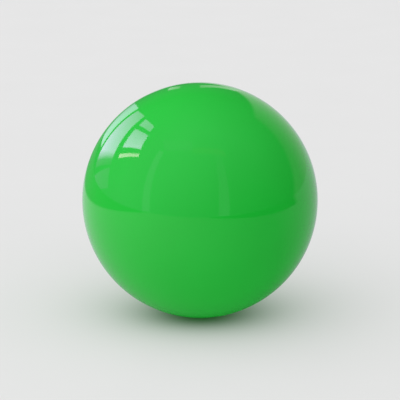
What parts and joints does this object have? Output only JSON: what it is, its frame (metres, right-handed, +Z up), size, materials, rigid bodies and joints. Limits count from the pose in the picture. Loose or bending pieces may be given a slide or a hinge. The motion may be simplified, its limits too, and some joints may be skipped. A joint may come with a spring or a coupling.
{
  "type": "contact juggling ball",
  "caption": "Hollow contact juggling ball: a seamless glossy moulded shell with a flush needle valve behind, closed by a pull-out plug.",
  "frame": {"origin": "on the ground under the centre of the ball, at the bottom centre of its box", "axes": "+Z up; +Y outwards along the axis of the valve; -Y towards the side that the picture shows"},
  "size_m": [0.1, 0.1, 0.0998],
  "materials": {
    "shell_pvc": "gloss",
    "valve_pvc": "satin",
    "valve_rubber": "matte"
  },
  "bodies": {
    "ball": {"ball_shell": "shell_pvc", "valve_seat": "valve_pvc", "valve_core": "valve_rubber"},
    "plug": {"valve_plug": "valve_pvc"}
  },
  "joints": [
    {"name": "plug_pull", "type": "slide", "parent": "ball", "child": "plug", "axis": [0, 1, 0], "range_m": [0, 0.012]}
  ]
}
